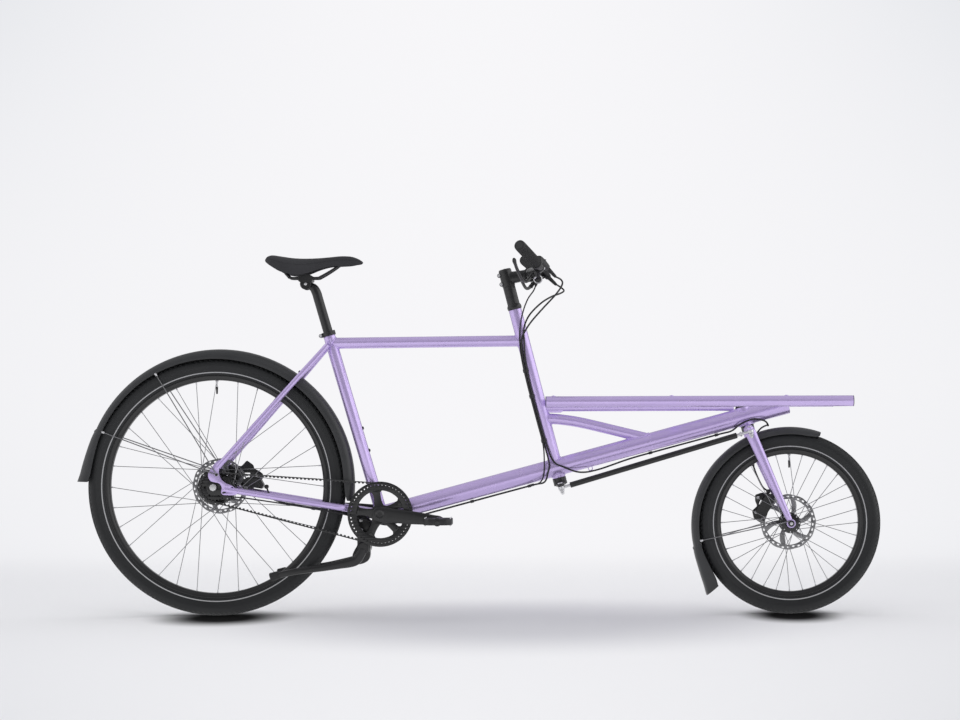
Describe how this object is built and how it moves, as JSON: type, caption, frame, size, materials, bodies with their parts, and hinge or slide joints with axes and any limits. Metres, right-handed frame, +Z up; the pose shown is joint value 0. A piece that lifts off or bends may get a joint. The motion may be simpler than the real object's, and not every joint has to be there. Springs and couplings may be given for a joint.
{
  "type": "cargo bike",
  "caption": "Front loading cargo bicycle with a long low main tube, an open rack over a small front wheel, rod linked steering and toothed belt drive.",
  "frame": {"origin": "on the ground under the middle of the bicycle's length, in its plane of symmetry", "axes": "+X points forward along the bicycle, +Z up, -Y to the rider's right, where the drive is"},
  "size_m": [2.296, 0.6202, 1.0483],
  "materials": {
    "frame_paint": "satin",
    "black_alloy": "satin",
    "black_plastic": "matte",
    "tyre_rubber": "matte",
    "black_rubber": "matte",
    "bare_steel": "brushed",
    "saddle_cover": "matte"
  },
  "bodies": {
    "frame": {"bottom_bracket_shell": "frame_paint", "stand_bracket": "black_alloy", "seat_tube": "frame_paint", "top_tube": "frame_paint", "steering_tube": "frame_paint", "main_tube": "frame_paint", "brace_tube": "frame_paint", "rack_beam": "frame_paint", "front_head_tube": "frame_paint", "chain_stay_left": "frame_paint", "chain_stay_right": "frame_paint", "seat_stay_left": "frame_paint", "seat_stay_right": "frame_paint", "rack_rail_left": "frame_paint", "rack_rail_right": "frame_paint", "rack_cross_1": "frame_paint", "rack_cross_2": "frame_paint", "rack_cross_3": "frame_paint", "seat_collar": "black_alloy", "rear_mudguard": "black_plastic", "rear_guard_stays": "bare_steel", "rear_caliper": "black_alloy", "rear_axle": "bare_steel", "belt": "black_rubber", "rear_brake_hose": "black_rubber", "front_brake_hose": "black_rubber", "shift_cable": "black_rubber"},
    "steering": {"steering_shaft": "black_alloy", "stem": "black_alloy", "handlebar": "black_alloy", "grip_left": "black_rubber", "grip_right": "black_rubber", "brake_clamp_left": "black_plastic", "brake_clamp_right": "black_plastic"},
    "right_lever": {"brake_lever_right": "black_alloy"},
    "left_lever": {"brake_lever_left": "black_alloy"},
    "shifter_lever": {"shift_lever": "black_plastic"},
    "tie_rod": {"tie_rod": "black_alloy"},
    "fork": {"fork": "frame_paint", "front_mudguard": "black_plastic", "front_guard_stay": "bare_steel", "front_caliper": "black_alloy"},
    "front_wheel": {"front_tyre": "tyre_rubber", "front_rim": "black_alloy", "front_hub": "black_alloy", "front_rotor": "bare_steel"},
    "rear_wheel": {"rear_tyre": "tyre_rubber", "rear_rim": "black_alloy", "rear_hub": "black_alloy", "rear_rotor": "bare_steel"},
    "rear_sprocket": {"rear_sprocket": "black_alloy"},
    "crank": {"chainring": "black_alloy", "crankset": "black_alloy"},
    "right_pedal": {"pedal_right": "black_plastic"},
    "left_pedal": {"pedal_left": "black_plastic"},
    "kickstand": {"kickstand": "black_alloy"},
    "seatpost": {"seatpost": "black_alloy"},
    "saddle_clamp": {"saddle_clamp": "black_alloy"},
    "saddle": {"saddle_rails": "bare_steel", "saddle": "saddle_cover"}
  },
  "joints": [
    {"name": "steer", "type": "hinge", "parent": "frame", "child": "steering", "pos_m": [0.2316, 0, 0.3788], "axis": [-0.2504, 0, 0.9681], "range_deg": [-45, 45], "deforming": ["rear_brake_hose", "front_brake_hose", "shift_cable"]},
    {"name": "tie_rod_swing", "type": "hinge", "parent": "steering", "child": "tie_rod", "pos_m": [0.23548, -0.068, 0.36379], "axis": [-0.2504, 0, 0.9681], "range_deg": [-46, 46]},
    {"name": "fork_turn", "type": "hinge", "parent": "frame", "child": "fork", "pos_m": [0.84198, 0, 0.24838], "axis": [-0.2504, 0, 0.9681], "range_deg": [-46, 46]},
    {"name": "front_wheel_spin", "type": "hinge", "parent": "fork", "child": "front_wheel", "pos_m": [0.8869, 0, 0.26], "axis": [0, 1, 0], "continuous": true},
    {"name": "rear_wheel_spin", "type": "hinge", "parent": "frame", "child": "rear_wheel", "pos_m": [-0.7491, 0, 0.368], "axis": [0, 1, 0], "continuous": true},
    {"name": "crank_spin", "type": "hinge", "parent": "frame", "child": "crank", "pos_m": [-0.27924, 0, 0.2898], "axis": [0, 1, 0], "continuous": true, "deforming": ["belt"]},
    {"name": "sprocket_spin", "type": "hinge", "parent": "frame", "child": "rear_sprocket", "pos_m": [-0.7491, 0, 0.368], "axis": [0, 1, 0], "continuous": true},
    {"name": "right_pedal_spin", "type": "hinge", "parent": "crank", "child": "right_pedal", "pos_m": [-0.11017, 0, 0.27203], "axis": [0, 1, 0], "continuous": true},
    {"name": "left_pedal_spin", "type": "hinge", "parent": "crank", "child": "left_pedal", "pos_m": [-0.44831, 0, 0.30757], "axis": [0, 1, 0], "continuous": true},
    {"name": "stand_fold", "type": "hinge", "parent": "frame", "child": "kickstand", "pos_m": [-0.3281, 0, 0.193], "axis": [0, 1, 0], "range_deg": [-106, 0]},
    {"name": "right_brake", "type": "hinge", "parent": "steering", "child": "right_lever", "pos_m": [0.15715, -0.146, 0.96238], "axis": [-0.5824, 0.4243, 0.6934], "range_deg": [0, 6], "stiffness_Nm_per_rad": 2, "springref_deg": -8.59},
    {"name": "left_brake", "type": "hinge", "parent": "steering", "child": "left_lever", "pos_m": [0.15715, 0.146, 0.96238], "axis": [0.5824, 0.4243, -0.6934], "range_deg": [0, 6], "stiffness_Nm_per_rad": 2, "springref_deg": -8.59},
    {"name": "shift_push", "type": "hinge", "parent": "steering", "child": "shifter_lever", "pos_m": [0.17215, -0.128, 0.95088], "axis": [0, -1, 0], "range_deg": [0, 18], "stiffness_Nm_per_rad": 0.5, "springref_deg": -11.46},
    {"name": "post_height", "type": "slide", "parent": "frame", "child": "seatpost", "axis": [-0.2798, 0, 0.96], "range_m": [-0.11, 0.11]},
    {"name": "saddle_tilt", "type": "hinge", "parent": "seatpost", "child": "saddle_clamp", "pos_m": [-0.49252, 0, 0.94613], "axis": [0, 1, 0], "range_deg": [-8, 8]},
    {"name": "saddle_slide", "type": "slide", "parent": "saddle_clamp", "child": "saddle", "axis": [1, 0, 0], "range_m": [-0.007, 0.015]}
  ],
  "couplings": [
    {"joint": "tie_rod_swing", "follows": "steer", "ratio": -1},
    {"joint": "fork_turn", "follows": "steer", "ratio": 1},
    {"joint": "sprocket_spin", "follows": "crank_spin", "ratio": 2.0833}
  ]
}
